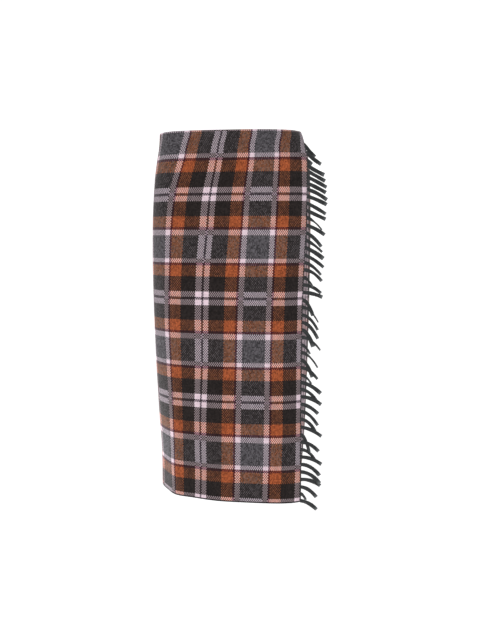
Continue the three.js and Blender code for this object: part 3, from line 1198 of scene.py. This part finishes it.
# Soft lights: where each stands and aims, its width and height in metres, and
# its share of the key light's power.
LIGHTS = (
    ("key_softbox", (-0.9, -2.6, 0.7), (0, 0, -0.4), (2.2, 1.6), 1),
    ("fill_softbox", (1.9, -1.7, 0.1), (0, 0, -0.4), (1.4, 1.8), 0.35),
    ("side_softbox", (-0.62, 0.14, -0.76), (-0.16, 0, -0.62), (0.3, 0.4), 0.16),
)


def floor_material(stage):
    s = Shader("studio_floor")
    place = s.node("ShaderNodeTexCoord").outputs["Object"]
    tone = s.total(FLOOR_SHADE, s.times(s.mottle(place, CLOUDS), CLOUD_SHADE))
    colour = linear(stage.floor_colour)
    s.surface.inputs["Emission Color"].default_value = colour
    s.surface.inputs["Emission Strength"].default_value = FLOOR_GLOW
    return s.finished(s.scaled(colour[:3], tone), 0.8, 0.1)


def select_back_edge(floor):
    """In edit mode, selects the edge where the floor meets the backdrop."""
    bpy.ops.object.mode_set(mode="EDIT")
    bpy.ops.mesh.select_mode(type="EDGE")
    bpy.ops.mesh.select_all(action="DESELECT")
    bpy.ops.object.mode_set(mode="OBJECT")
    for edge in floor.data.edges:
        ends = [floor.data.vertices[v].co for v in edge.vertices]
        at_back = all(end.y > FLOOR_SIZE / 2 - NEAR_EDGE for end in ends)
        edge.select = at_back and all(abs(end.z) < FLAT for end in ends)
    bpy.ops.object.mode_set(mode="EDIT")


def surroundings(stage):
    """White all round for the camera, a little softer as light."""
    world = bpy.data.worlds.new("studio_surroundings")
    world.use_nodes = True
    tree = world.node_tree
    tree.nodes.clear()
    output = tree.nodes.new("ShaderNodeOutputWorld")
    background = tree.nodes.new("ShaderNodeBackground")
    rays = tree.nodes.new("ShaderNodeLightPath")
    level = tree.nodes.new("ShaderNodeMath")
    level.operation = "MULTIPLY_ADD"
    tree.links.new(rays.outputs["Is Camera Ray"], level.inputs[0])
    level.inputs[1].default_value = 1.0 - stage.surround
    level.inputs[2].default_value = stage.surround
    background.inputs["Color"].default_value = (1.0, 1.0, 1.0, 1.0)
    tree.links.new(level.outputs[0], background.inputs["Strength"])
    tree.links.new(background.outputs[0], output.inputs["Surface"])
    bpy.context.scene.world = world


def soft_light(name, place, aim, size, power):
    bpy.ops.object.light_add(type="AREA", location=place)
    light = bpy.context.object
    light.name = name
    light.data.shape = "RECTANGLE"
    light.data.size, light.data.size_y = size
    light.data.energy = power
    light.visible_camera = False
    light.rotation_euler = (Vector(aim) - Vector(place)).to_track_quat("-Z", "Y").to_euler()


class SKIRT_OT_stage(bpy.types.Operator):
    """Pale floor, soft studio light and the camera"""

    bl_idname = "skirt.stage"
    bl_label = "Stage"

    def execute(self, context):
        stage = context.scene.skirt_stage
        bpy.ops.object.select_all(action="DESELECT")
        place = (0, FLOOR_BACK, -stage.floor_drop)
        bpy.ops.mesh.primitive_plane_add(size=FLOOR_SIZE, location=place)
        floor = context.object
        floor.name = "studio_floor"
        select_back_edge(floor)
        upwards = {"value": (0, 0, BACKDROP_HEIGHT)}
        bpy.ops.mesh.extrude_edges_move(TRANSFORM_OT_translate=upwards)
        select_back_edge(floor)
        bpy.ops.mesh.bevel(offset=BACKDROP_ROUND, segments=24)
        bpy.ops.object.mode_set(mode="OBJECT")
        bpy.ops.object.shade_smooth()
        bpy.ops.object.transform_apply(location=True, rotation=True, scale=True)
        floor.data.materials.append(floor_material(stage))

        surroundings(stage)
        for name, stands, aim, size, share in LIGHTS:
            soft_light(name, stands, aim, size, stage.key_power * share)

        turn, rise = radians(CAMERA_TURN), radians(CAMERA_RISE)
        back = Vector((sin(turn) * cos(rise), -cos(turn) * cos(rise), sin(rise)))
        data = bpy.data.cameras.new("studio_camera")
        data.sensor_fit = "VERTICAL"
        data.sensor_height = SENSOR
        data.lens = FOCAL_PIXELS / IMAGE_LONG_SIDE * SENSOR
        data.clip_start = 0.05
        camera = bpy.data.objects.new("studio_camera", data)
        context.scene.collection.objects.link(camera)
        camera.location = CAMERA_PLACE
        camera.rotation_euler = (-back).to_track_quat("-Z", "Y").to_euler()
        context.scene.camera = camera
        context.scene.view_settings.view_transform = "Standard"
        context.scene.view_settings.look = "None"
        # With the prefilter on, the denoiser smooths the weave away.
        context.scene.cycles.denoising_prefilter = "NONE"
        return {"FINISHED"}


class SKIRT_PT_panel(bpy.types.Panel):
    """Lists the skirt's pieces and its settings"""

    bl_label = "Wrap Skirt"
    bl_idname = "SKIRT_PT_panel"
    bl_space_type = "VIEW_3D"
    bl_region_type = "UI"
    bl_category = "Wrap Skirt"

    def draw(self, context):
        layout = self.layout
        for operator in OPERATORS:
            layout.operator(operator.bl_idname)
        for settings in SETTINGS:
            group = getattr(context.scene, settings)
            column = layout.column(heading=group.__doc__)
            for name in group.__annotations__:
                column.prop(group, name)


OPERATORS = (
    SKIRT_OT_waistband,
    SKIRT_OT_over_panel,
    SKIRT_OT_back_panel,
    SKIRT_OT_under_panel,
    SKIRT_OT_fringe,
    SKIRT_OT_declare_cloth,
    SKIRT_OT_stage,
)
SETTINGS = {
    "skirt_plaid": PlaidSettings,
    "skirt_fringe": FringeSettings,
    "skirt_stage": StageSettings,
}
CLASSES = (*SETTINGS.values(), *OPERATORS, SKIRT_PT_panel)


def register():
    for kind in CLASSES:
        bpy.utils.register_class(kind)
    for name, kind in SETTINGS.items():
        setattr(bpy.types.Scene, name, PointerProperty(type=kind))


def unregister():
    for name in SETTINGS:
        delattr(bpy.types.Scene, name)
    for kind in reversed(CLASSES):
        bpy.utils.unregister_class(kind)


def main():
    register()
    bpy.ops.skirt.waistband()
    bpy.ops.skirt.over_panel()
    bpy.ops.skirt.back_panel()
    bpy.ops.skirt.under_panel()
    bpy.ops.skirt.fringe()
    bpy.ops.skirt.declare_cloth()
    bpy.ops.skirt.stage()


if __name__ == "__main__":
    main()
